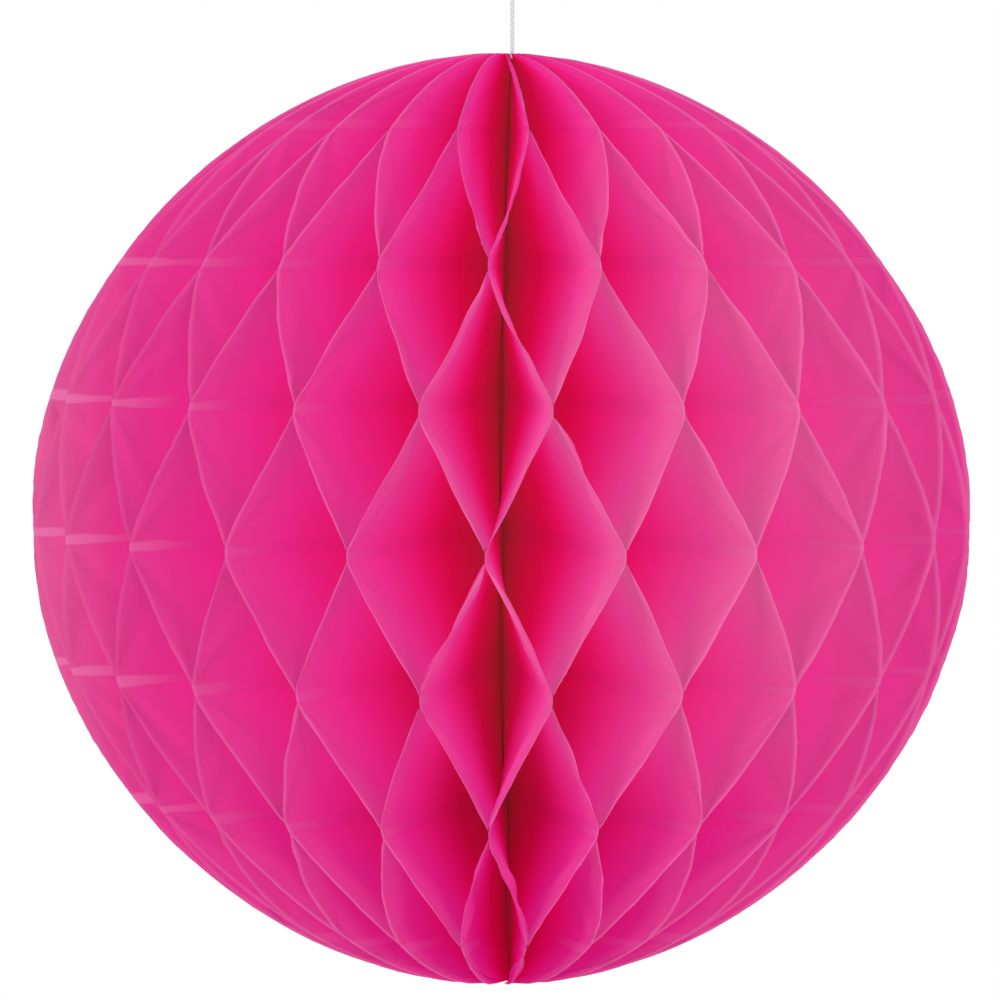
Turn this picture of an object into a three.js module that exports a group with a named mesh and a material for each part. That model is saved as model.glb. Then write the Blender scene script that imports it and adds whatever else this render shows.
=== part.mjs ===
// Honeycomb ball of tissue paper on a hanging thread.
// Half-round leaves are glued to their neighbours along level rows, at every second seam in every
// second row. The stack is fanned out round its straight edge until the last leaf meets the first,
// so each leaf swings from one neighbour to the other and the gaps between them open as cells.
// Millimetres, +Z up along the thread, front at -Y, origin in the middle of the ball.

import * as THREE from "three";

// Ball
const ballWidth = 200; // across the waist of the opened ball
const ballHeight = 198.2; // between the two points of the outline on the axis
const outlineExponent = 1.9; // 2 is a plain ellipse, less draws the shoulders in

// Leaves
const cellsPerRow = 24; // open cells once round the ball, with two leaves to each
const leafThickness = 0.06;
const glueFilm = 0.06; // between two leaves where they are glued
const rowPitch = 28.2; // from one glue row to the next
const middleRowHeight = -1.3; // of the glue row at the waist
const pressedHeight = 2.4; // of the strip at a glue row where two leaves lie on each other
const bandSteps = 3; // facets of a leaf between two glue rows
const frontSeamAngle = -1.8; // degrees from the front towards +X
const unevenness = 0.075; // how much wider than the mean the cells on the full side open
const fullSideAngle = 50; // degrees from the front towards +X
const spineBow = 2.4; // towards +X, of the straight edges' ends past their middle
const spineSlack = 1.05; // room round the packed straight edges, as a factor

// Recess at each pole, where the corners of the leaves are snipped off
const recessRadius = 1.6;
const recessDepth = 4;
const tipLand = 2; // level end of the shortest leaf, outside the recess

// Thread
const threadDiameter = 1;
const threadSides = 8;
const spineSteps = 8;
const threadClearance = 0.3; // to the leaves round it
const faceGap = 0.3; // between two lengths of thread, or a thread and its knot
const bottomKnotDiameter = 2.6;
const bottomKnotGap = 0.1; // from the knot to the recess that it is drawn into
const freeLength = 12.7; // from the top of the ball to the loop's knot
const loopKnotWidth = 3.4;
const loopKnotHeight = 4.2;
const knotRings = 6;
const loopSteps = 18;
// The loop's right half, sideways and up from the top of its knot
const loopHalf = [
  [0.75, 0.3],
  [1.1, 3.5],
  [2.3, 8],
  [3.9, 13],
  [4.5, 17.5],
  [3.3, 21.6],
];
const loopCrown = [0, 23.4];

const tissue = new THREE.MeshStandardMaterial({ color: "#e4357f", roughness: 0.85, metalness: 0 });
const cotton = new THREE.MeshStandardMaterial({ color: "#ebe7e3", roughness: 0.8, metalness: 0 });

const leafCount = 2 * cellsPerRow;
const halfWidth = ballWidth / 2;
const halfHeight = ballHeight / 2;
const threadRadius = threadDiameter / 2;

// Outline of the ball: how far a leaf reaches from the axis at a height, and the other way round
const otherSide = (share) => (1 - share ** outlineExponent) ** (1 / outlineExponent);
const outlineRadius = (height) => halfWidth * otherSide(Math.abs(height) / halfHeight);
const outlineHeight = (radius) => halfHeight * otherSide(radius / halfWidth);

// Angle of a seam between two leaves, from the front towards +X
function seamAngle(seam) {
  const frontSeam = THREE.MathUtils.degToRad(frontSeamAngle);
  const fullSide = THREE.MathUtils.degToRad(fullSideAngle);
  const even = frontSeam + (2 * Math.PI * seam) / leafCount;
  return even + unevenness * (Math.sin(even - fullSide) - Math.sin(frontSeam - fullSide));
}

// Heights of the leaf's ends, the bottom of the recesses and the rows that fit between
const tipHeight = outlineHeight(recessRadius + tipLand + spineBow);
const recessHeight = tipHeight - recessDepth;
const rowHeight = (row) => middleRowHeight + row * rowPitch;
const rowReach = recessHeight - pressedHeight;
const highestRow = Math.floor((rowReach - middleRowHeight) / rowPitch);
const lowestRow = -Math.floor((rowReach + middleRowHeight) / rowPitch);

// How far the thread and the edges along it lie to the side at a height
const spineSide = (height) => spineBow * (height / tipHeight) ** 2;

// The edges come no closer to the thread than it and the packed leaves allow. The leaves are packed
// closest at the bottom of a recess, on the side that the bow turns away from.
const shortReach = outlineRadius(recessHeight);
const crowding = shortReach / (shortReach + spineBow);
const narrowestLeafAngle = ((2 * Math.PI) / leafCount) * (1 - unevenness) * crowding;
const packedRadius = (spineSlack * (leafThickness + glueFilm)) / narrowestLeafAngle;
const coreRadius = Math.max(packedRadius, threadRadius + threadClearance);

// Inner edge of a leaf: along the thread, slanting out round the recess at each end
function innerRadius(height) {
  const intoRecess = Math.max(0, Math.abs(height) - recessHeight) / recessDepth;
  return THREE.MathUtils.lerp(coreRadius, recessRadius, intoRecess);
}

// Side that a leaf of even number is glued on in a row: -1 to the seam before it, 1 to the one after
const gluedSide = (row) => (row % 2 === 0 ? -1 : 1);

// Levels of a leaf from its lower tip to its upper tip, each with its height and its side
function leafLevels() {
  const levels = [];
  const add = (height, side) => levels.push({ height, side });
  const shoulder = (height) => outlineHeight((outlineRadius(height) + outlineRadius(recessHeight)) / 2);
  const lowestStrip = rowHeight(lowestRow) + pressedHeight / 2;
  add(-tipHeight, gluedSide(lowestRow));
  add(-recessHeight, gluedSide(lowestRow));
  add(-shoulder(lowestStrip), gluedSide(lowestRow));
  add(lowestStrip, gluedSide(lowestRow));
  for (let row = lowestRow; row < highestRow; row++) {
    const start = rowHeight(row) + pressedHeight / 2;
    const end = rowHeight(row + 1) - pressedHeight / 2;
    for (let step = 1; step <= bandSteps; step++) {
      const share = step / bandSteps;
      const side = THREE.MathUtils.lerp(gluedSide(row), gluedSide(row + 1), share);
      add(THREE.MathUtils.lerp(start, end, share), side);
    }
    if (row + 1 < highestRow) {
      add(rowHeight(row + 1) + pressedHeight / 2, gluedSide(row + 1));
    }
  }
  const highestStrip = rowHeight(highestRow) - pressedHeight / 2;
  add(shoulder(highestStrip), gluedSide(highestRow));
  add(recessHeight, gluedSide(highestRow));
  add(tipHeight, gluedSide(highestRow));
  return levels;
}

// One leaf: at each level a straight line from the thread to the outline, thickened to a section
// with the corners inner and outer on its first face, then outer and inner on its second face
function leafGeometry(leaf, levels) {
  const firstSeam = seamAngle(leaf);
  const lastSeam = seamAngle(leaf + 1);
  const positions = [];
  for (const { height, side } of levels) {
    const leafSide = leaf % 2 === 0 ? side : -side;
    const angle = THREE.MathUtils.lerp(firstSeam, lastSeam, (1 + leafSide) / 2);
    const middle = (-leafSide * (leafThickness + glueFilm)) / 2;
    const spine = new THREE.Vector2(spineSide(height), 0);
    const rim = new THREE.Vector2(Math.sin(angle), -Math.cos(angle)).multiplyScalar(outlineRadius(height));
    const outwards = rim.clone().sub(spine).normalize();
    const corner = (reach, across) => {
      const x = spine.x + reach * outwards.x - across * outwards.y;
      const y = spine.y + reach * outwards.y + across * outwards.x;
      positions.push(x, y, height);
    };
    const rimReach = spine.distanceTo(rim);
    corner(innerRadius(height), middle - leafThickness / 2);
    corner(rimReach, middle - leafThickness / 2);
    corner(rimReach, middle + leafThickness / 2);
    corner(innerRadius(height), middle + leafThickness / 2);
  }
  const cornerCount = 4;
  const last = cornerCount * (levels.length - 1);
  const triangles = [0, 3, 2, 0, 2, 1, last, last + 1, last + 2, last, last + 2, last + 3];
  for (let below = 0; below < last; below += cornerCount) {
    const above = below + cornerCount;
    const wall = (from, to) => {
      const fromAbove = from + cornerCount;
      const toAbove = to + cornerCount;
      triangles.push(from, to, toAbove, from, toAbove, fromAbove);
    };
    wall(below, below + 1);
    wall(below + 1, below + 2);
    wall(below + 3, below);
    // Both faces of the leaf are split along the same diagonal
    triangles.push(below + 2, below + 3, above + 2, below + 3, above + 3, above + 2);
  }
  const geometry = new THREE.BufferGeometry();
  geometry.setAttribute("position", new THREE.Float32BufferAttribute(positions, 3));
  geometry.setIndex(triangles);
  geometry.computeVertexNormals();
  return geometry;
}

// A plain round knot, drawn tight
function knotGeometry(width, height) {
  const profile = [];
  for (let ring = 0; ring <= knotRings; ring++) {
    const turn = (Math.PI * ring) / knotRings;
    const onAxis = ring === 0 || ring === knotRings;
    const radius = onAxis ? 0 : (width / 2) * Math.sin(turn);
    profile.push(new THREE.Vector2(radius, (-height / 2) * Math.cos(turn)));
  }
  return new THREE.LatheGeometry(profile, threadSides).rotateX(Math.PI / 2);
}

// Thread along a curve
function threadGeometry(curve, steps) {
  const section = new THREE.Shape();
  for (let side = 0; side < threadSides; side++) {
    const turn = (2 * Math.PI * side) / threadSides;
    const x = threadRadius * Math.cos(turn);
    const y = threadRadius * Math.sin(turn);
    if (side === 0) section.moveTo(x, y);
    else section.lineTo(x, y);
  }
  return new THREE.ExtrudeGeometry(section, { extrudePath: curve, steps, bevelEnabled: false });
}

function straightThread(bottom, top) {
  const length = top - bottom;
  const geometry = new THREE.CylinderGeometry(threadRadius, threadRadius, length, threadSides);
  return geometry.rotateX(Math.PI / 2).translate(0, 0, (bottom + top) / 2);
}

const ball = new THREE.Group();

function addPiece(name, geometry, material, side = 0, height = 0) {
  const piece = new THREE.Mesh(geometry, material);
  piece.name = name;
  piece.position.set(side, 0, height);
  ball.add(piece);
}

// Leaves, numbered from the front towards +X
const levels = leafLevels();
for (let leaf = 0; leaf < leafCount; leaf++) {
  addPiece(`leaf_${String(leaf + 1).padStart(2, "0")}`, leafGeometry(leaf, levels), tissue);
}

// Knot under the ball, drawn up into the recess until its round side meets the slanting edges
const recessAngle = Math.atan2(recessRadius - coreRadius, recessDepth);
const recessApex = recessHeight - coreRadius / Math.tan(recessAngle);
const bottomKnotRadius = bottomKnotDiameter / 2;
const bottomKnotHeight = -recessApex - (bottomKnotRadius + bottomKnotGap) / Math.sin(recessAngle);
const bottomKnot = knotGeometry(bottomKnotDiameter, bottomKnotDiameter);
addPiece("bottom_knot", bottomKnot, cotton, spineSide(bottomKnotHeight), bottomKnotHeight);

// Thread through the middle, bowed with the edges, from that knot to the top of the ball
const spineBottom = bottomKnotHeight + bottomKnotRadius + faceGap;
const spineStart = new THREE.Vector3(spineSide(spineBottom), 0, spineBottom);
const spineEnd = new THREE.Vector3(spineBow, 0, tipHeight);
const tangentsMeet = (spineBow * spineBottom) / tipHeight;
const spineBend = new THREE.Vector3(tangentsMeet, 0, (spineBottom + tipHeight) / 2);
const spineCurve = new THREE.QuadraticBezierCurve3(spineStart, spineBend, spineEnd);
addPiece("spine_thread", threadGeometry(spineCurve, spineSteps), cotton);

// Free thread above the ball, with the knot and the loop that it hangs by
const loopKnotBottom = tipHeight + freeLength;
const loopKnotTop = loopKnotBottom + loopKnotHeight;
const freeThread = straightThread(tipHeight + faceGap, loopKnotBottom - faceGap);
addPiece("hanging_thread", freeThread, cotton, spineBow);
const loopKnot = knotGeometry(loopKnotWidth, loopKnotHeight);
addPiece("loop_knot", loopKnot, cotton, spineBow, (loopKnotBottom + loopKnotTop) / 2);

const rightHalf = loopHalf.map(([side, up]) => new THREE.Vector3(side, 0, up));
const crown = new THREE.Vector3(loopCrown[0], 0, loopCrown[1]);
const leftHalf = loopHalf.map(([side, up]) => new THREE.Vector3(-side, 0, up)).reverse();
const loopCurve = new THREE.CatmullRomCurve3([...rightHalf, crown, ...leftHalf]);
addPiece("hanging_loop", threadGeometry(loopCurve, loopSteps), cotton, spineBow, loopKnotTop);

export default ball;
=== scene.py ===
import math

import bpy
import numpy as np
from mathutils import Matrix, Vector


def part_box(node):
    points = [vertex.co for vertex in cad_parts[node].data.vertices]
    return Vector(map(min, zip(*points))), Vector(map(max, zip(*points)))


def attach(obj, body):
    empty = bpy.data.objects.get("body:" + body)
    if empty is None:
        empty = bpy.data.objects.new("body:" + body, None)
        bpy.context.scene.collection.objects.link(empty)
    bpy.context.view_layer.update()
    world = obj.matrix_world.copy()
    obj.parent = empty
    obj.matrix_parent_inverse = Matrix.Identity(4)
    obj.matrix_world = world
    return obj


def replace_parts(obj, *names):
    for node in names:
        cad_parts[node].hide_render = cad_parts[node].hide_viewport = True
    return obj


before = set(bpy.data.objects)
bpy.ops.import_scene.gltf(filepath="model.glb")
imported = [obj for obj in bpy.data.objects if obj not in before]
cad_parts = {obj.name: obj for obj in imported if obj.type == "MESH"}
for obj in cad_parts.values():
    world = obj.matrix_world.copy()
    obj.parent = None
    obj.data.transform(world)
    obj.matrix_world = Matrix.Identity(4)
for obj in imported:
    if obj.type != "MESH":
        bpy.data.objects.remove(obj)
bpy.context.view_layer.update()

# Leaves of the ball: half-rounds of dyed tissue paper, each glued to its two neighbours along level
# rows, at one seam in the even rows and at the other in the odd ones. The stack was die-cut, then
# fanned out round its straight edge, so a leaf swings from seam to seam, creased beside the glue.
leaf_count = 48
half_width = 0.1
half_height = 0.0991
outline_exponent = 1.9
row_pitch = 0.0282
middle_row_height = -0.0013
highest_row = 3
pressed_height = 0.0024
glue_lap = 0.00003
hold_sharpness = 16
front_seam_angle = math.radians(-1.8)
full_side_angle = math.radians(50)
unevenness = 0.075
spine_bow = 0.0024
core_radius = 0.00113
recess_radius = 0.0016
recess_depth = 0.004
tip_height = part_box("leaf_01")[1].z
recess_height = tip_height - recess_depth

bend_reach = 0.0006
bend_samples = 7
level_step = 0.0014
column_count = 41
column_crowding = 1.6
belly_spread = 0.014
belly_limit = 0.1
wave_count = 4
wave_height = 0.00018
wave_length_out = (0.022, 0.05)
wave_length_up = (0.014, 0.03)
flutter_count = 3
flutter_height = 0.0001
flutter_length = (0.007, 0.016)
flutter_reach = 0.006
pucker_count = 2
pucker_height = 0.00022
pucker_heights = (0.3, 0.8)
pucker_length = (0.0045, 0.011)
pucker_reach = 0.0032
pucker_reaches = (0.7, 1.5)
crease_count = 2
crease_height = 0.001
crease_reach = 0.008
crease_lean = (0.6, 1.25)
crease_spread = 0.17
cut_roughness = 0.00005
paper_seed = 11


def outline_radius(height):
    """How far a leaf reaches from the axis at a height."""
    return half_width * (1 - np.abs(height / half_height) ** outline_exponent) ** (1 / outline_exponent)


def seam_angle(seam):
    """Angle of a seam between two leaves, from the front towards +X."""
    even = front_seam_angle + 2 * math.pi * seam / leaf_count
    lean = math.sin(even - full_side_angle) - math.sin(front_seam_angle - full_side_angle)
    return even + unevenness * lean


def spine_side(height):
    """How far the thread, and the straight edges along it, lie to the side at a height."""
    return spine_bow * (height / tip_height) ** 2


def row_share(height):
    """The row below each height, and how far from its strip to the next row's it lies, 0 to 1."""
    rows = (height - middle_row_height) / row_pitch
    below = np.clip(np.floor(rows), -highest_row - 1, highest_row)
    strip = 0.5 * pressed_height / row_pitch
    return below, np.clip((rows - below - strip) / (1 - 2 * strip), 0, 1)


def sharp_side(height):
    """Side of an even leaf at each height, -1 at the seam before it and 1 at the one after."""
    below, share = row_share(height)
    start = np.where(np.mod(below, 2) == 0, -1.0, 1.0)
    side = start * (1 - 2 * share)
    side = np.where(below < -highest_row, -start, side)
    return np.where(below >= highest_row, start, side)


def leaf_side(height):
    """The side with the bends at the strips rounded off, as paper bends."""
    reach = np.linspace(-bend_reach, bend_reach, bend_samples)
    return np.mean([sharp_side(height + shift) for shift in reach], axis=0)


def leaf_heights():
    """Heights of a leaf's levels, tip to tip, with one at each strip's edge and at the recesses."""
    rows = middle_row_height + row_pitch * np.arange(-highest_row, highest_row + 1)
    strips = np.concatenate([rows - pressed_height / 2, rows + pressed_height / 2])
    knees = np.sort(np.concatenate([strips, [-tip_height, -recess_height, recess_height, tip_height]]))
    heights = [knees[:1]]
    for start, end in zip(knees[:-1], knees[1:]):
        steps = math.ceil((end - start) / level_step)
        heights.append(np.linspace(start, end, steps + 1)[1:])
    return np.concatenate(heights)


def leaf_relief(draw, heights, side, radius, from_rim):
    """How far the paper stands off its plain form at each level and column, in metres."""
    free = (1 - side**2)[:, None]
    level = heights[:, None]
    relief = np.zeros_like(radius)
    for wave in range(wave_count):
        along = 2 * math.pi / draw.uniform(*wave_length_out)
        up = 2 * math.pi / draw.uniform(*wave_length_up) * draw.choice([-1, 1])
        start = draw.uniform(0, 2 * math.pi)
        relief += free * wave_height / 2 * np.sin(along * radius + up * level + start)
    for wave in range(flutter_count):
        up = 2 * math.pi / draw.uniform(*flutter_length)
        start = draw.uniform(0, 2 * math.pi)
        flutter = flutter_height / 2 * np.sin(up * level + start)
        relief += free * flutter * np.exp(-from_rim / flutter_reach)
    for row in range(-highest_row, highest_row + 1):
        from_strip = np.abs(level - middle_row_height - row * row_pitch) - pressed_height / 2
        reach = np.clip(from_strip, 0, None) / (pucker_reach * draw.uniform(*pucker_reaches))
        rise = reach * np.exp(1 - reach)
        for wave in range(pucker_count):
            along = 2 * math.pi / draw.uniform(*pucker_length)
            start = draw.uniform(0, 2 * math.pi)
            height = pucker_height * draw.uniform(*pucker_heights)
            relief += height * rise * np.sin(along * radius + start)
    return relief * radius / half_width


def leaf_creases(draw, heights, from_rim):
    """Height of the creases that run inwards, up and down, from where the glued strips meet the rim."""
    creases = np.zeros_like(from_rim)
    for row in range(-highest_row, highest_row + 1):
        up = heights[:, None] - middle_row_height - row * row_pitch
        beyond = np.clip(np.abs(up) - pressed_height / 2, 0, None)
        span = np.hypot(from_rim, beyond) / crease_reach
        lean = np.arctan2(beyond, from_rim)
        for way in (-1, 1):
            for crease in range(crease_count):
                middle = draw.uniform(*crease_lean)
                height = crease_height * draw.uniform(-1, 1)
                ridge = np.exp(-(((lean - middle) / crease_spread) ** 2)) * span * np.exp(1 - span)
                creases += height * ridge * (np.sign(up) == way)
    return creases


def leaf_mesh(name, leaf, draw):
    """One leaf as a sheet, which is shaded from both sides."""
    heights = leaf_heights()
    side = leaf_side(heights) * (1 if leaf % 2 == 0 else -1)
    rows, share = row_share(heights)
    belly = np.clip(draw.normal(0, belly_spread, 2 * highest_row + 2), -belly_limit, belly_limit)
    side = side + belly[(rows + highest_row + 1).astype(int)] * np.sin(math.pi * share)

    angle = seam_angle(leaf) + (seam_angle(leaf + 1) - seam_angle(leaf)) * (1 + side) / 2
    spine = spine_side(heights)
    rim_x = outline_radius(heights) * np.sin(angle)
    rim_y = -outline_radius(heights) * np.cos(angle)
    reach = np.hypot(rim_x - spine, rim_y)
    out_x = ((rim_x - spine) / reach)[:, None]
    out_y = (rim_y / reach)[:, None]

    into_recess = np.clip((np.abs(heights) - recess_height) / recess_depth, 0, 1)
    inner = core_radius + (recess_radius - core_radius) * into_recess
    outer = reach + draw.normal(0, cut_roughness, len(heights))
    shares = 1 - (1 - np.linspace(0, 1, column_count)) ** column_crowding
    radius = inner[:, None] + (outer - inner)[:, None] * shares[None, :]

    from_rim = reach[:, None] - radius
    relief = leaf_relief(draw, heights, side, radius, from_rim)
    relief += leaf_creases(np.random.default_rng(leaf), heights, from_rim)
    # The paper lies flat on its strips, and glued strips cross by the lap, so no light shows between
    held = (2 * share - 1) ** hold_sharpness
    middle = side[:, None] * glue_lap + (1 - held)[:, None] * relief
    x = spine[:, None] + radius * out_x - middle * out_y
    y = radius * out_y + middle * out_x
    z = np.broadcast_to(heights[:, None], x.shape)
    points = np.stack([x, y, z], axis=2).reshape(-1, 3)
    depth = 1 - radius / reach[:, None]

    corner = np.arange(len(points)).reshape(x.shape)[:-1, :-1].ravel()
    faces = np.stack([corner, corner + 1, corner + 1 + column_count, corner + column_count], axis=1)
    mesh = bpy.data.meshes.new(name)
    mesh.from_pydata(points.tolist(), [], faces.tolist())
    mesh.polygons.foreach_set("use_smooth", np.ones(len(faces), bool))
    unrolled = np.stack([depth, (z + tip_height) / (2 * tip_height)], axis=2).reshape(-1, 2)
    mesh.uv_layers.new(name="unrolled").data.foreach_set("uv", unrolled[faces.ravel()].ravel())
    return mesh


def shader_node(tree, kind, values=None, **settings):
    """Adds a node with its settings, and each input set to a value or linked to a socket."""
    made = tree.nodes.new(kind)
    for setting, value in settings.items():
        setattr(made, setting, value)
    for socket, value in (values or {}).items():
        if isinstance(value, bpy.types.NodeSocket):
            tree.links.new(value, made.inputs[socket])
        else:
            made.inputs[socket].default_value = value
    return made


def maths(tree, operation, first, second=0.0):
    """The result of a Math node on two numbers or sockets."""
    return shader_node(tree, "ShaderNodeMath", {0: first, 1: second}, operation=operation).outputs[0]


def fade(tree, value, start, end):
    """1 where value is at start, falling smoothly to 0 at end."""
    ranges = {"Value": value, "From Min": start, "From Max": end, "To Min": 1.0, "To Max": 0.0}
    made = shader_node(tree, "ShaderNodeMapRange", ranges, interpolation_type="SMOOTHSTEP")
    return made.outputs["Result"]


def blend_colour(tree, share, first, second, way="MIX"):
    """The first colour with a share of the second."""
    values = {0: share, 6: first, 7: second}
    made = shader_node(tree, "ShaderNodeMix", values, data_type="RGBA", blend_type=way)
    return made.outputs[2]


# Fibres, which both the tissue and the cotton show: fine flecks that lie every way, and wide clouds
cloud_coarseness = 0.08
fibres = bpy.data.node_groups.new("fibres", "ShaderNodeTree")
fibres.interface.new_socket("Fineness", in_out="INPUT", socket_type="NodeSocketFloat")
fibres.interface.new_socket("Fleck", in_out="OUTPUT", socket_type="NodeSocketFloat")
fibres.interface.new_socket("Cloud", in_out="OUTPUT", socket_type="NodeSocketFloat")
fibre_inputs = shader_node(fibres, "NodeGroupInput")
fibre_place = shader_node(fibres, "ShaderNodeTexCoord")
fibre_noise = shader_node(fibres, "ShaderNodeTexNoise", {
    "Vector": fibre_place.outputs["Object"],
    "Scale": fibre_inputs.outputs["Fineness"],
    "Detail": 2.0,
    "Roughness": 0.65,
})
cloud_noise = shader_node(fibres, "ShaderNodeTexNoise", {
    "Vector": fibre_place.outputs["Object"],
    "Scale": maths(fibres, "MULTIPLY", fibre_inputs.outputs["Fineness"], cloud_coarseness),
    "Detail": 1.0,
})
shader_node(fibres, "NodeGroupOutput", {
    "Fleck": fibre_noise.outputs["Fac"],
    "Cloud": cloud_noise.outputs["Fac"],
})

# Tissue: dyed through, paler along the glue, and it lets a little light through. Painted light and
# shade
# are written into its colour: pale at the cut rim, redder and darker with the depth from the rim into
# the shade between the leaves, a painted light patch right of the middle, and painted shade low down.
# From the rim to the spine, these stops go from painted light at the rim to painted shade at the core
rim_pink = (0.68, 0.1, 0.285, 1)
pale_pink = (0.89, 0.05, 0.305, 1)
open_pink = (0.905, 0.016, 0.205, 1)
deep_pink = (0.87, 0.0055, 0.126, 1)
inner_red = (0.735, 0.003, 0.06, 1)
dark_red = (0.57, 0.0055, 0.037, 1)
core_red = (0.41, 0.0095, 0.023, 1)
spine_red = (0.22, 0.009, 0.013, 1)
# The next three tints are painted shade: deeper away from a painted light patch, deeper near the
# bottom, darker low down
shade_tint = (1.0, 0.38, 0.88, 1)
bottom_shade_tint = (0.84, 0.3, 0.8, 1)
low_shade_tint = (0.78, 1.0, 0.74, 1)
# A painted highlight along the cut rim
highlight_pink = (0.8, 0.2, 0.45, 1)
glue_pink = (0.9, 0.25, 0.5, 1)
light_through = (0.85, 0.004, 0.22, 1)
share_through = 0.06
# Where the painted light patch is centred, and how it is stretched
light_patch_middle = (0.03, 0, 0.012)
light_patch_stretch = (1.3, 0, 1)
# Each pair is where a tint is full and where it has faded out, in metres or as a share of the depth
shade_distances = (0.085, 0.025)
shade_sides = (-0.07, -0.105)
shade_depths = (0.25, 0.55)
bottom_heights = (-0.08, -0.032)
bottom_depths = (0.18, 0.05)
low_upper_heights = (-0.05, -0.01)
low_under_heights = (-0.06, -0.08)
low_depths = (0.6, 0.22)
fleck_depths = (0.15, 0.45)
fleck_most = 0.1
edge_band = (0.0003, 0.0014)
glue_width = 0.0009
glue_wander = 0.0016
glue_band = (0.001, 0.02)
tissue_fineness = 1400

tissue = bpy.data.materials.new("tissue")
tissue.use_nodes = True
tree = tissue.node_tree
tree.nodes.clear()
fibre = shader_node(tree, "ShaderNodeGroup", node_tree=fibres)
fibre.inputs["Fineness"].default_value = tissue_fineness
place = shader_node(tree, "ShaderNodeTexCoord")
parts = shader_node(tree, "ShaderNodeSeparateXYZ", {"Vector": place.outputs["Object"]})
height = parts.outputs["Z"]
unrolled = shader_node(tree, "ShaderNodeSeparateXYZ", {"Vector": place.outputs["UV"]})
depth = unrolled.outputs["X"]
up_share = maths(tree, "DIVIDE", maths(tree, "ABSOLUTE", height), half_height)
out_share = maths(tree, "SUBTRACT", 1.0, maths(tree, "POWER", up_share, outline_exponent))
rim_radius = maths(tree, "MULTIPLY", maths(tree, "POWER", out_share, 1 / outline_exponent), half_width)
from_rim = maths(tree, "MULTIPLY", rim_radius, depth)
from_row = maths(tree, "PINGPONG", maths(tree, "SUBTRACT", height, middle_row_height), row_pitch / 2)
row_wander = maths(tree, "MULTIPLY", maths(tree, "SUBTRACT", fibre.outputs["Cloud"], 0.5), glue_wander)
glued = fade(tree, maths(tree, "ADD", from_row, row_wander), 0.7 * glue_width, 1.3 * glue_width)
glue_shows = fade(tree, from_rim, *glue_band)
# The glue rows are painted paler on the left side, where light falls across them: painted light
glue_lit_side = shader_node(tree, "ShaderNodeMapRange", {
    "Value": parts.outputs["X"],
    "From Min": -0.09,
    "From Max": -0.052,
    "To Min": 0.38,
    "To Max": 0.06,
})
glue_shows = maths(tree, "MULTIPLY", glue_shows, glue_lit_side.outputs["Result"])

# The colour by depth from the rim is painted light and shade: pale where light reaches the rim, darker
# red deeper in, where the leaves shade each other
inside = shader_node(tree, "ShaderNodeValToRGB", {0: depth})
inside.color_ramp.elements[0].color = rim_pink
inside.color_ramp.elements[1].color = spine_red
for stop_depth, stop_colour in (
    (0.18, pale_pink),
    (0.36, open_pink),
    (0.48, deep_pink),
    (0.62, inner_red),
    (0.8, dark_red),
    (0.93, core_red),
):
    inside.color_ramp.elements.new(stop_depth).color = stop_colour
# Painted light: a pale patch right of the middle, where light falls; away from it, except on the far
# left, the colour near the rim takes a deeper painted shade tint
from_middle = shader_node(tree, "ShaderNodeVectorMath", {
    0: place.outputs["Object"],
    1: light_patch_middle,
}, operation="SUBTRACT")
stretched = shader_node(tree, "ShaderNodeVectorMath", {
    0: from_middle.outputs["Vector"],
    1: light_patch_stretch,
}, operation="MULTIPLY")
from_light_patch = shader_node(tree, "ShaderNodeVectorMath", {
    0: stretched.outputs["Vector"],
}, operation="LENGTH")
shade_share = fade(tree, from_light_patch.outputs["Value"], *shade_distances)
shade_share = maths(tree, "MULTIPLY", shade_share, fade(tree, parts.outputs["X"], *shade_sides))
shade_share = maths(tree, "MULTIPLY", shade_share, fade(tree, depth, *shade_depths))
dye_and_shade = blend_colour(tree, shade_share, inside.outputs["Color"], shade_tint, "MULTIPLY")
# Painted shade: near the bottom the rim zone is less pale, as less light comes from below
bottom_shade = fade(tree, height, *bottom_heights)
bottom_shade = maths(tree, "MULTIPLY", bottom_shade, fade(tree, depth, *bottom_depths))
dye_and_shade = blend_colour(tree, bottom_shade, dye_and_shade, bottom_shade_tint, "MULTIPLY")
# Painted shade: darker deep in the cells of the lower half
low_shade = fade(tree, height, *low_upper_heights)
low_shade = maths(tree, "MULTIPLY", low_shade, fade(tree, height, *low_under_heights))
low_shade = maths(tree, "MULTIPLY", low_shade, fade(tree, depth, *low_depths))
dye_and_shade = blend_colour(tree, low_shade, dye_and_shade, low_shade_tint, "MULTIPLY")

fleck_share = maths(tree, "MULTIPLY", fade(tree, depth, *fleck_depths), fleck_most)
fleck_share = maths(tree, "MULTIPLY", fibre.outputs["Fleck"], fleck_share)
flecked = blend_colour(tree, fleck_share, dye_and_shade, rim_pink)
# Painted highlight: a thin pale line along the cut rim, weaker on the left and stronger on the right,
# where light falls
highlight_side = shader_node(tree, "ShaderNodeMapRange", {
    "Value": parts.outputs["X"],
    "From Min": -0.075,
    "From Max": -0.035,
    "To Min": 0.12,
    "To Max": 0.36,
})
edge_highlight = maths(tree, "MULTIPLY", fade(tree, from_rim, *edge_band), highlight_side.outputs["Result"])
highlighted = blend_colour(tree, edge_highlight, flecked, highlight_pink)
glue_share = maths(tree, "MULTIPLY", glued, glue_shows)
pasted = blend_colour(tree, glue_share, highlighted, glue_pink)
crinkle = shader_node(tree, "ShaderNodeBump", {
    "Height": fibre.outputs["Fleck"],
    "Strength": 0.25,
    "Distance": 0.0001,
})
paper = shader_node(tree, "ShaderNodeBsdfPrincipled", {
    "Base Color": pasted,
    "Roughness": 0.55,
    "Specular IOR Level": 0.0,
    "Normal": crinkle.outputs["Normal"],
})
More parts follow.
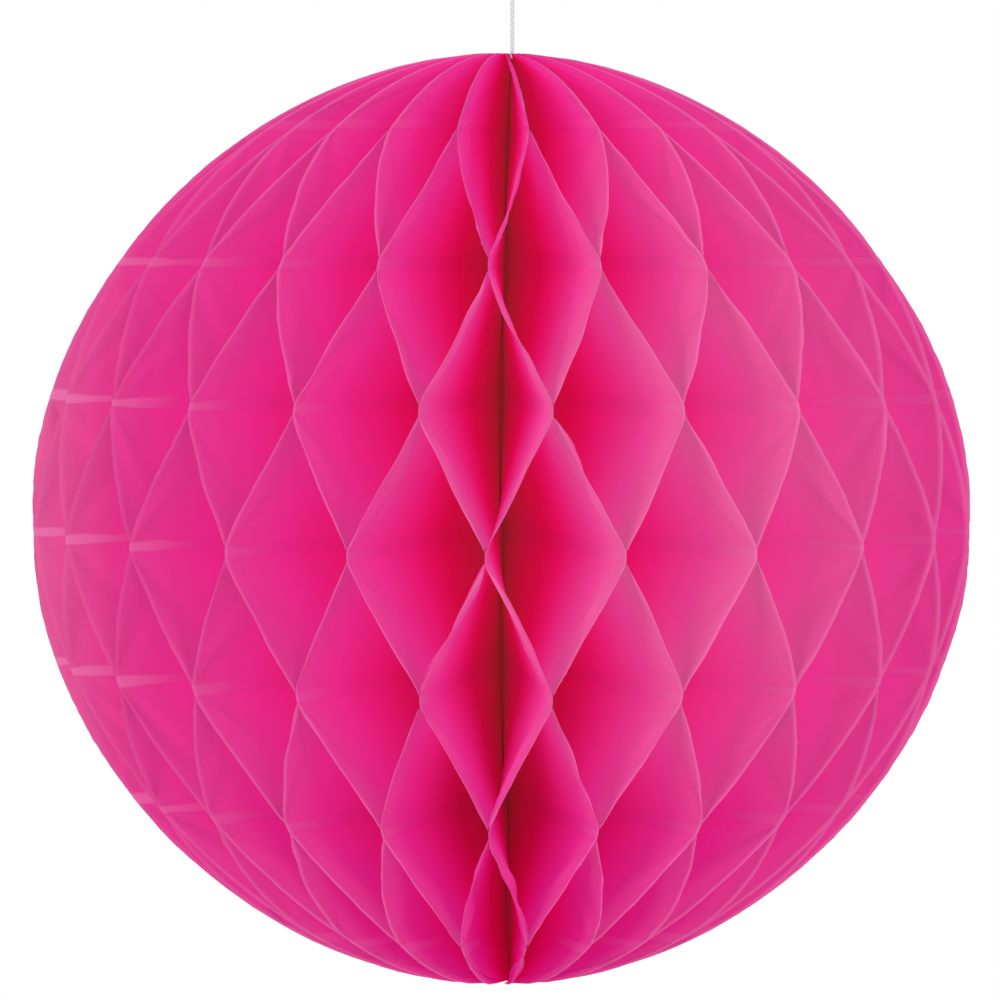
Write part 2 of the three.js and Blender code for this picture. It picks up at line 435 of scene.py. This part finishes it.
glow = shader_node(tree, "ShaderNodeBsdfTranslucent", {
    "Color": light_through,
    "Normal": crinkle.outputs["Normal"],
})
sheet_of_tissue = shader_node(tree, "ShaderNodeMixShader", {
    0: share_through,
    1: paper.outputs["BSDF"],
    2: glow.outputs["BSDF"],
})
shader_node(tree, "ShaderNodeOutputMaterial", {"Surface": sheet_of_tissue.outputs["Shader"]})

draw = np.random.default_rng(paper_seed)
for leaf in range(leaf_count):
    number = f"{leaf + 1:02d}"
    leaf_name = f"tissue_leaf_{number}"
    leaf_piece = bpy.data.objects.new(leaf_name, leaf_mesh(leaf_name, leaf, draw))
    bpy.context.scene.collection.objects.link(leaf_piece)
    leaf_piece.data.materials.append(tissue)
    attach(leaf_piece, "root")
    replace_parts(leaf_piece, f"leaf_{number}")

# Spine thread: three plies of undyed cotton, twisted together and drawn through the middle of the
# ball, where the straight edges of the leaves close round them; there the thread is painted dark red as
# painted shade.
ply_count = 3
ply_radius = 0.00029
ply_offset = 0.00021
ply_turn = 0.0034
ply_sides = 8
ring_spacing = 0.0004
curve_steps = 24
spine_posts = 9


def smooth_line(points):
    """Points close together on a smooth curve through the given ones."""
    points = np.array(points, float)
    before = 2 * points[:1] - points[1:2]
    after = 2 * points[-1:] - points[-2:-1]
    posts = np.concatenate([before, points, after])
    share = np.linspace(0, 1, curve_steps, endpoint=False)[:, None]
    stretches = []
    for first, start, end, last in zip(posts, posts[1:], posts[2:], posts[3:]):
        bend = 2 * first - 5 * start + 4 * end - last
        twist = 3 * start - first - 3 * end + last
        stretches.append(start + 0.5 * ((end - first) * share + bend * share**2 + twist * share**3))
    line = np.concatenate(stretches + [points[-1:]])
    run = np.concatenate([[0], np.cumsum(np.linalg.norm(np.diff(line, axis=0), axis=1))])
    steps = np.linspace(0, run[-1], math.ceil(run[-1] / ring_spacing) + 1)
    return np.stack([np.interp(steps, run, line[:, axis]) for axis in range(3)], axis=1)


def thread_mesh(name, line):
    """Plies twisted round a line, in one mesh."""
    ahead = np.gradient(line, axis=0)
    ahead /= np.linalg.norm(ahead, axis=1)[:, None]
    side = np.array([1.0, 0.3, 0.2])
    sides = []
    for way in ahead:
        side = side - way * np.dot(side, way)
        side /= np.linalg.norm(side)
        sides.append(side)
    sides = np.array(sides)
    ups = np.cross(ahead, sides)
    run = ring_spacing * np.arange(len(line))
    around = 2 * math.pi * np.arange(ply_sides) / ply_sides
    points = []
    faces = []
    for ply in range(ply_count):
        turn = 2 * math.pi * (run / ply_turn + ply / ply_count)
        across = ply_offset * np.cos(turn)[:, None] + ply_radius * np.cos(around)
        along = ply_offset * np.sin(turn)[:, None] + ply_radius * np.sin(around)
        rings = line[:, None] + across[:, :, None] * sides[:, None] + along[:, :, None] * ups[:, None]
        corner = len(points) + np.arange(len(line) * ply_sides).reshape(-1, ply_sides)
        after = np.roll(corner, -1, axis=1)
        walls = np.stack([corner[:-1], after[:-1], after[1:], corner[1:]], axis=2)
        points += rings.reshape(-1, 3).tolist()
        faces += walls.reshape(-1, 4).tolist()
        faces += [corner[0, ::-1].tolist(), corner[-1].tolist()]
    mesh = bpy.data.meshes.new(name)
    mesh.from_pydata(points, [], faces)
    mesh.polygons.foreach_set("use_smooth", np.ones(len(faces), bool))
    return mesh


def thread_piece(name, line):
    """A length of thread that rides with the ball."""
    piece = bpy.data.objects.new(name, thread_mesh(name, line))
    bpy.context.scene.collection.objects.link(piece)
    piece.data.materials.append(cotton)
    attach(piece, "root")
    return piece


# Cotton: pale and dull, with darker flecks between the fibres, and painted dark red as painted shade
# where it runs inside the ball
cotton_pale = (0.72, 0.69, 0.69, 1)
cotton_dark = (0.5, 0.46, 0.46, 1)
core_shade_red = (0.26, 0.012, 0.02, 1)
core_shade_heights = (tip_height - 0.0012, tip_height - 0.0004)
cotton_fineness = 5000
cotton = bpy.data.materials.new("cotton")
cotton.use_nodes = True
tree = cotton.node_tree
fibre = shader_node(tree, "ShaderNodeGroup", node_tree=fibres)
fibre.inputs["Fineness"].default_value = cotton_fineness
fuzz = shader_node(tree, "ShaderNodeBump", {
    "Height": fibre.outputs["Fleck"],
    "Strength": 0.5,
    "Distance": 0.0001,
})
cotton_shader = tree.nodes["Principled BSDF"]
cotton_flecked = blend_colour(tree, fibre.outputs["Fleck"], cotton_pale, cotton_dark)
cotton_place = shader_node(tree, "ShaderNodeTexCoord").outputs["Object"]
cotton_height = shader_node(tree, "ShaderNodeSeparateXYZ", {"Vector": cotton_place}).outputs["Z"]
# Painted shade: dark red where the thread runs below the ball's top tip, in the shade between the
# leaves
core_shade = fade(tree, cotton_height, *core_shade_heights)
cotton_colour = blend_colour(tree, core_shade, cotton_flecked, core_shade_red)
tree.links.new(cotton_colour, cotton_shader.inputs["Base Color"])
tree.links.new(fuzz.outputs["Normal"], cotton_shader.inputs["Normal"])
cotton_shader.inputs["Roughness"].default_value = 0.85
cotton_shader.inputs["Specular IOR Level"].default_value = 0.0

bottom_knot_height = (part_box("bottom_knot")[0].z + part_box("bottom_knot")[1].z) / 2
spine_heights = np.linspace(bottom_knot_height, tip_height, spine_posts)
spine = smooth_line([(spine_side(height), 0, height) for height in spine_heights])
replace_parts(thread_piece("cotton_spine", spine), "spine_thread")

# Bottom knot: the same thread wound round itself and pulled tight. It sits in the recess between the
# snipped corners of the leaves and keeps the ball from sliding down.
points_a_turn = 16
bottom_knot_radius = 0.0008
bottom_knot_turns = 1.8
bottom_knot_half_height = 0.0008


def wound_line(radius, turns, bottom, top):
    """Thread wound round an end of the spine, from the bottom up."""
    share = np.linspace(0, 1, math.ceil(points_a_turn * turns))
    turn = 2 * math.pi * turns * share
    height = bottom + (top - bottom) * share
    middle = min(spine_side(bottom), spine_bow)
    across = middle + radius * np.cos(turn)
    return smooth_line(np.stack([across, radius * np.sin(turn), height], axis=1))


bottom_wraps = wound_line(
    bottom_knot_radius,
    bottom_knot_turns,
    bottom_knot_height - bottom_knot_half_height,
    bottom_knot_height + bottom_knot_half_height,
)
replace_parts(thread_piece("cotton_bottom_knot", bottom_wraps), "bottom_knot")

# Loop knot: an overhand knot in the same cotton thread that closes the loop, with the thread's end
# caught under its turns.
loop_knot_radius = 0.0012
loop_knot_turns = 3.2
thread_radius = 0.0005
loop_knot_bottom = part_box("loop_knot")[0].z + thread_radius
loop_knot_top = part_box("loop_knot")[1].z - thread_radius
loop_wraps = wound_line(loop_knot_radius, loop_knot_turns, loop_knot_bottom, loop_knot_top)
loop_knot = thread_piece("cotton_loop_knot", loop_wraps)
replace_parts(loop_knot, "loop_knot")

# Hanging thread and loop: the same thread runs free above the ball, through the knot and round the
# loop that it hangs by, and its end goes back into the knot. Each point is a side step and a height.
hanging_points = [
    (0, tip_height),
    (0, 0.102),
    (0, 0.105),
    (0, 0.108),
    (0, 0.111),
    (0.0001, 0.1137),
    (0.00075, 0.11605),
    (0.0011, 0.11925),
    (0.0023, 0.12375),
    (0.0039, 0.12875),
    (0.0045, 0.13325),
    (0.0033, 0.13735),
    (0, 0.13915),
    (-0.0033, 0.13735),
    (-0.0045, 0.13325),
    (-0.0039, 0.12875),
    (-0.0023, 0.12375),
    (-0.0011, 0.11925),
    (-0.00075, 0.11605),
    (-0.0004, 0.1141),
]
hanging_line = smooth_line([(spine_bow + side, 0, height) for side, height in hanging_points])
hanging = thread_piece("cotton_hanging_thread", hanging_line)
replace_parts(hanging, "hanging_thread", "hanging_loop")

# Camera: it stands level with the upper half of the ball and looks slightly down on it, far enough
# off to show it with little perspective.
camera_distance = 1.0
camera_elevation = math.radians(3.4)
aim = Vector((0, 0, 0.0041))
lens = bpy.data.cameras.new("camera")
lens.lens = 168.8
lens.sensor_width = 36
lens.shift_x = -0.001
camera = bpy.data.objects.new("camera", lens)
towards_camera = Vector((0, -math.cos(camera_elevation), math.sin(camera_elevation)))
camera.location = aim + camera_distance * towards_camera
camera.rotation_euler = towards_camera.to_track_quat("Z", "Y").to_euler()
bpy.context.scene.collection.objects.link(camera)
bpy.context.scene.camera = camera

# Light and floor: even white studio light from all round, with three broad lamps at about the ball's
# height, on the left, on the right and in front. The pale floor lies well below the hanging ball, out
# of the main view.
fill_level = 0.53
lamp_size = 1.2
bounce_reach = 0.0003
bounce_level = 1.65
world = bpy.data.worlds.new("studio")
bpy.context.scene.world = world
world.use_nodes = True
tree = world.node_tree
tree.nodes.clear()
path = shader_node(tree, "ShaderNodeLightPath")
shown = maths(tree, "MAXIMUM", path.outputs["Is Camera Ray"], path.outputs["Is Glossy Ray"])
shown = maths(tree, "MAXIMUM", shown, path.outputs["Is Transmission Ray"])
level = maths(tree, "ADD", fill_level, maths(tree, "MULTIPLY", shown, 1 - fill_level))
white = shader_node(tree, "ShaderNodeBackground", {"Color": (1, 1, 1, 1), "Strength": level})
shader_node(tree, "ShaderNodeOutputWorld", {"Surface": white.outputs["Background"]})

for lamp_name, lamp_place, power in (
    ("left_lamp", (-1.25, -1.25, 0.25), 13),
    ("right_lamp", (1.5, -0.9, 0.2), 8.5),
    ("front_lamp", (0.7, -1.75, 0.1), 7),
):
    lamp = bpy.data.lights.new(lamp_name, "AREA")
    lamp.size = lamp_size
    lamp.energy = power
    lamp_object = bpy.data.objects.new(lamp_name, lamp)
    lamp_object.location = lamp_place
    lamp_object.rotation_euler = Vector(lamp_place).to_track_quat("Z", "Y").to_euler()
    lamp_object.visible_camera = False
    bpy.context.scene.collection.objects.link(lamp_object)

floor_height = -1.6
floor_radius = 5.0
bpy.ops.mesh.primitive_circle_add(vertices=128, radius=floor_radius, fill_type="NGON")
floor = bpy.context.object
floor.name = "floor"
floor.location.z = floor_height
floor_paint = bpy.data.materials.new("floor_paint")
floor_paint.use_nodes = True
floor_shader = floor_paint.node_tree.nodes["Principled BSDF"]
floor_shader.inputs["Base Color"].default_value = (0.8, 0.8, 0.8, 1)
floor_shader.inputs["Roughness"].default_value = 0.8
floor.data.materials.append(floor_paint)

bpy.context.scene.view_settings.view_transform = "Standard"
# Light that bounces between the leaves takes the studio's white, so a colour renders about as written
bpy.context.scene.cycles.use_fast_gi = True
bpy.context.scene.cycles.fast_gi_method = "REPLACE"
bpy.context.scene.cycles.ao_bounces_render = 1
world.light_settings.distance = bounce_reach
world.light_settings.ao_factor = bounce_level
